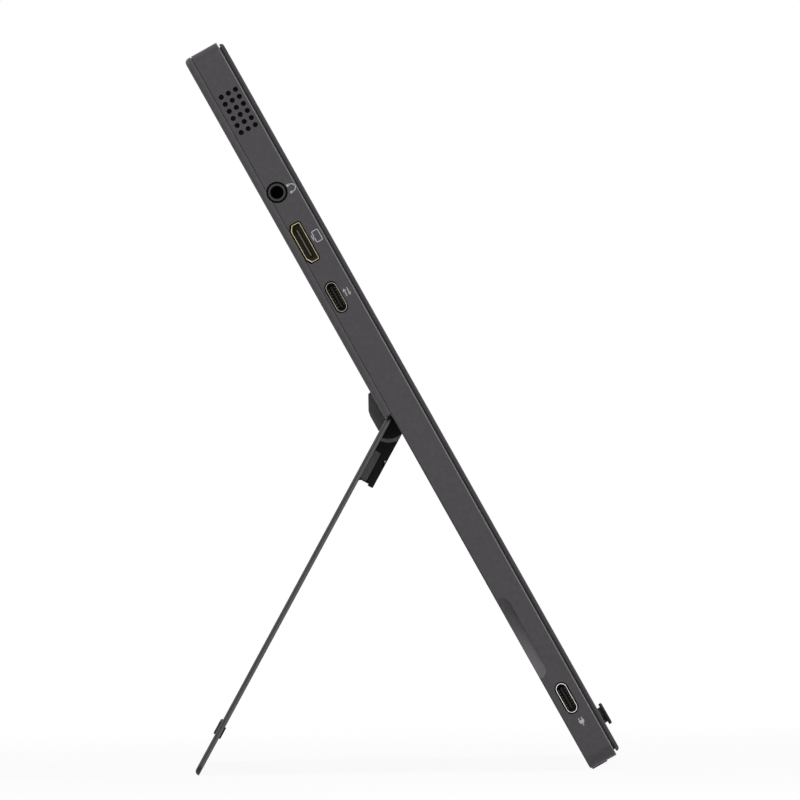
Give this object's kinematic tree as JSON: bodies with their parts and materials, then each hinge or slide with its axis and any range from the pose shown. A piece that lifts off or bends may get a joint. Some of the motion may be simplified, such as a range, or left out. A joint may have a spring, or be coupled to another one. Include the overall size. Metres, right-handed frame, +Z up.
{
  "type": "portable monitor",
  "caption": "Slim portable monitor leaning back on a hinged rear cover plate that folds out as its stand, with side sockets, speaker grilles and a small joystick.",
  "frame": {"origin": "on the desk, at the middle of the footprint of the monitor as it stands with its cover plate opened out", "axes": "+Z up; +X to the right of someone facing the screen, along the hinge line; +Y from the screen towards the stand. The screen faces -Y and leans back 28.5 degrees"},
  "size_m": [0.355, 0.1162, 0.2008],
  "materials": {
    "housing": "fine matte, dark grey",
    "cover": "fine matte, dark grey",
    "bezel": "fine matte, near black grey",
    "screen": "dark anti-glare glass, switched off",
    "backlight": "light guide in a thin white frame",
    "circuit_board": "green solder mask with black chips",
    "flat_cable": "amber film",
    "speaker": "black",
    "mesh": "black dust mesh",
    "socket_body": "dark grey moulding",
    "gold_shell": "pale gold plating",
    "steel_shell": "bright nickel plating",
    "socket_tongue": "black",
    "stick": "satin black",
    "bare_steel": "bare steel",
    "hinge_cap": "fine matte, dark grey",
    "hinge_arm": "satin black",
    "plate": "fine matte anodised, dark grey",
    "rubber": "matt black rubber"
  },
  "bodies": {
    "display": {"main_housing": "housing", "rear_cover": "cover", "front_bezel": "bezel", "screen_glass": "screen", "backlight_unit": "backlight", "panel_board": "circuit_board", "panel_cable": "flat_cable", "main_board": "circuit_board", "side_board": "circuit_board", "power_cable": "flat_cable", "speaker_left": "speaker", "speaker_right": "speaker", "grille_mesh_left": "mesh", "grille_mesh_right": "mesh", "headphone_socket": "socket_body", "video_socket_shell": "gold_shell", "video_socket_tongue": "socket_tongue", "upper_c_shell": "steel_shell", "upper_c_tongue": "socket_tongue", "lower_c_shell": "steel_shell", "lower_c_tongue": "socket_tongue", "joystick_board": "circuit_board", "joystick_base": "socket_body", "bottom_feet": "rubber", "board_screws": "bare_steel", "bracket_screws": "bare_steel", "hinge_cap_left": "hinge_cap", "hinge_cap_right": "hinge_cap", "hinge_bracket_left": "bare_steel", "hinge_bracket_right": "bare_steel", "hinge_pin_left": "bare_steel", "hinge_pin_right": "bare_steel", "friction_washers_left": "bare_steel", "friction_washers_right": "bare_steel"},
    "stand": {"cover_plate": "plate", "hinge_arm_left": "hinge_arm", "hinge_arm_right": "hinge_arm", "hinge_leaf_left": "bare_steel", "hinge_leaf_right": "bare_steel", "arm_screws": "bare_steel", "plate_foot": "rubber", "plate_bumper": "rubber"},
    "stick_ring": {"joystick_ring": "bare_steel"},
    "stick_carrier": {"joystick_carrier": "bare_steel"},
    "stick_cap": {"joystick_cap": "stick"}
  },
  "joints": [
    {"name": "stand_hinge", "type": "hinge", "parent": "display", "child": "stand", "pos_m": [0, 0.00374, 0.09687], "axis": [1, 0, 0], "range_deg": [-57.7, 22.2]},
    {"name": "joystick_up_down", "type": "hinge", "parent": "display", "child": "stick_ring", "pos_m": [-0.15, -0.04902, 0.01206], "axis": [1, 0, 0], "range_deg": [-4, 4], "stiffness_Nm_per_rad": 0.1},
    {"name": "joystick_left_right", "type": "hinge", "parent": "stick_ring", "child": "stick_carrier", "pos_m": [-0.15, -0.04902, 0.01206], "axis": [0, 0.4772, 0.8788], "range_deg": [-4, 4], "stiffness_Nm_per_rad": 0.1},
    {"name": "joystick_press", "type": "slide", "parent": "stick_carrier", "child": "stick_cap", "axis": [0, 0.8788, -0.4772], "range_m": [0, 0.00025], "stiffness_N_per_m": 4000}
  ]
}
